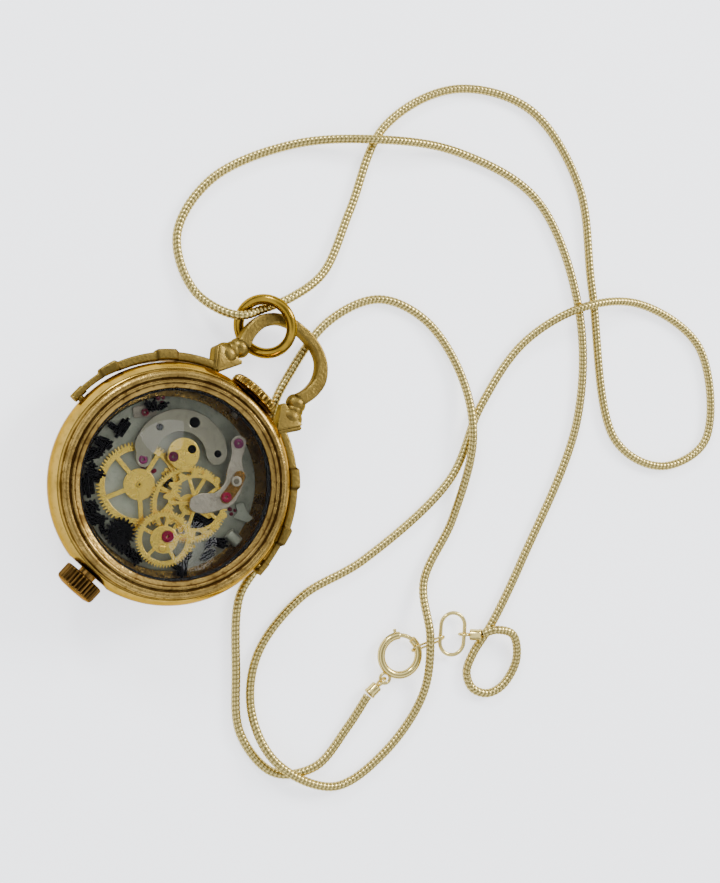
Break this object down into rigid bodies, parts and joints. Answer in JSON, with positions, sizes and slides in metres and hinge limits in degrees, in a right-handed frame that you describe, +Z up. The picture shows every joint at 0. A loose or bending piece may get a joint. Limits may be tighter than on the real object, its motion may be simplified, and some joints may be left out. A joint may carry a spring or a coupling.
{
  "type": "pocket_watch",
  "caption": "Small gold pendant pocket watch filled with bonded watch parts under glass, hung in a brass stirrup bail on a snake chain",
  "frame": {"origin": "middle of the flat foot on the case back, where the watch lies on a surface", "axes": "+X to 3 o'clock along the bail's pivots, +Y to 12 o'clock and the bail, +Z up out of the glass"},
  "size_m": [0.0844, 0.0998, 0.0105],
  "materials": {
    "case_gold": "polished",
    "bezel_gold": "worn antique",
    "satin_brass": "satin antique",
    "ring_brass": "polished",
    "chain_gold": "bright pale gold",
    "copper_gold": "aged copper gold",
    "pale_brass": "bright",
    "bright_steel": "fine brushed",
    "khaki_steel": "dull",
    "nickel": "dulled nickel plate",
    "black_steel": "blackened steel",
    "ruby": "polished synthetic ruby",
    "seal": "matt",
    "glass": "clear"
  },
  "bodies": {
    "necklace": {"chain": "chain_gold", "chain_cap_a": "chain_gold", "chain_cap_b": "chain_gold", "clasp_body": "chain_gold", "clasp_spring": "bright_steel", "connector_ring": "chain_gold", "connector_link": "chain_gold", "jump_ring": "ring_brass"},
    "bolt": {"clasp_bolt": "chain_gold"},
    "bail": {"bail_stirrup": "satin_brass"},
    "case": {"back_cover": "case_gold", "case_band": "case_gold", "pivot_bush_left": "copper_gold", "pivot_bush_right": "copper_gold", "bezel": "bezel_gold", "crystal_gasket": "seal", "crystal": "glass", "movement_ring": "bright_steel", "crown_top_tube": "copper_gold", "crown_bottom_tube": "copper_gold", "main_plate": "nickel", "train_bridge": "khaki_steel", "bridge_jewel": "ruby", "cap_disc": "pale_brass", "cap_jewel": "ruby", "great_wheel": "pale_brass", "third_wheel": "pale_brass", "fourth_wheel": "pale_brass", "escape_wheel": "pale_brass", "great_wheel_arbor": "pale_brass", "third_wheel_arbor": "pale_brass", "fourth_wheel_arbor": "pale_brass", "escape_wheel_arbor": "pale_brass", "hub_disc": "pale_brass", "hub_jewel": "ruby", "hub_pin": "pale_brass", "escape_cock": "bright_steel", "cock_inlay": "copper_gold", "cock_screw": "bright_steel", "cock_jewel": "ruby", "cock_end_jewel": "ruby", "click_gear": "black_steel", "leaf_pinion_1": "black_steel", "leaf_pinion_2": "black_steel", "leaf_pinion_3": "black_steel", "leaf_pinion_4": "black_steel", "leaf_pinion_5": "black_steel", "leaf_pinion_6": "black_steel", "stud": "nickel", "setting_lever": "nickel", "steel_strip": "bright_steel", "loose_jewel": "ruby"},
    "top_stem": {"crown_top_stem": "bright_steel"},
    "top_crown": {"crown_top": "case_gold"},
    "bottom_stem": {"crown_bottom_stem": "bright_steel"},
    "bottom_crown": {"crown_bottom": "copper_gold"}
  },
  "joints": [
    {"name": "bail_lift", "type": "hinge", "parent": "necklace", "child": "bail", "pos_m": [0, 0.0283, 0.003], "axis": [-1, 0, 0], "range_deg": [0, 15]},
    {"name": "case_flip", "type": "hinge", "parent": "bail", "child": "case", "pos_m": [0, 0, 0.0055], "axis": [1, 0, 0], "continuous": true},
    {"name": "top_crown_pull", "type": "slide", "parent": "case", "child": "top_stem", "axis": [0, 1, 0], "range_m": [0, 0.0008]},
    {"name": "top_crown_turn", "type": "hinge", "parent": "top_stem", "child": "top_crown", "pos_m": [0, 0.0165, 0.0055], "axis": [0, 1, 0], "continuous": true},
    {"name": "bottom_crown_pull", "type": "slide", "parent": "case", "child": "bottom_stem", "axis": [0, -1, 0], "range_m": [0, 0.0008]},
    {"name": "bottom_crown_turn", "type": "hinge", "parent": "bottom_stem", "child": "bottom_crown", "pos_m": [0, -0.0175, 0.0055], "axis": [0, -1, 0], "continuous": true},
    {"name": "clasp_bolt_slide", "type": "hinge", "parent": "necklace", "child": "bolt", "pos_m": [0.04275, 0.0053, 0.001], "axis": [0, 0, 1], "range_deg": [0, 28], "stiffness_Nm_per_rad": 0.0008}
  ]
}
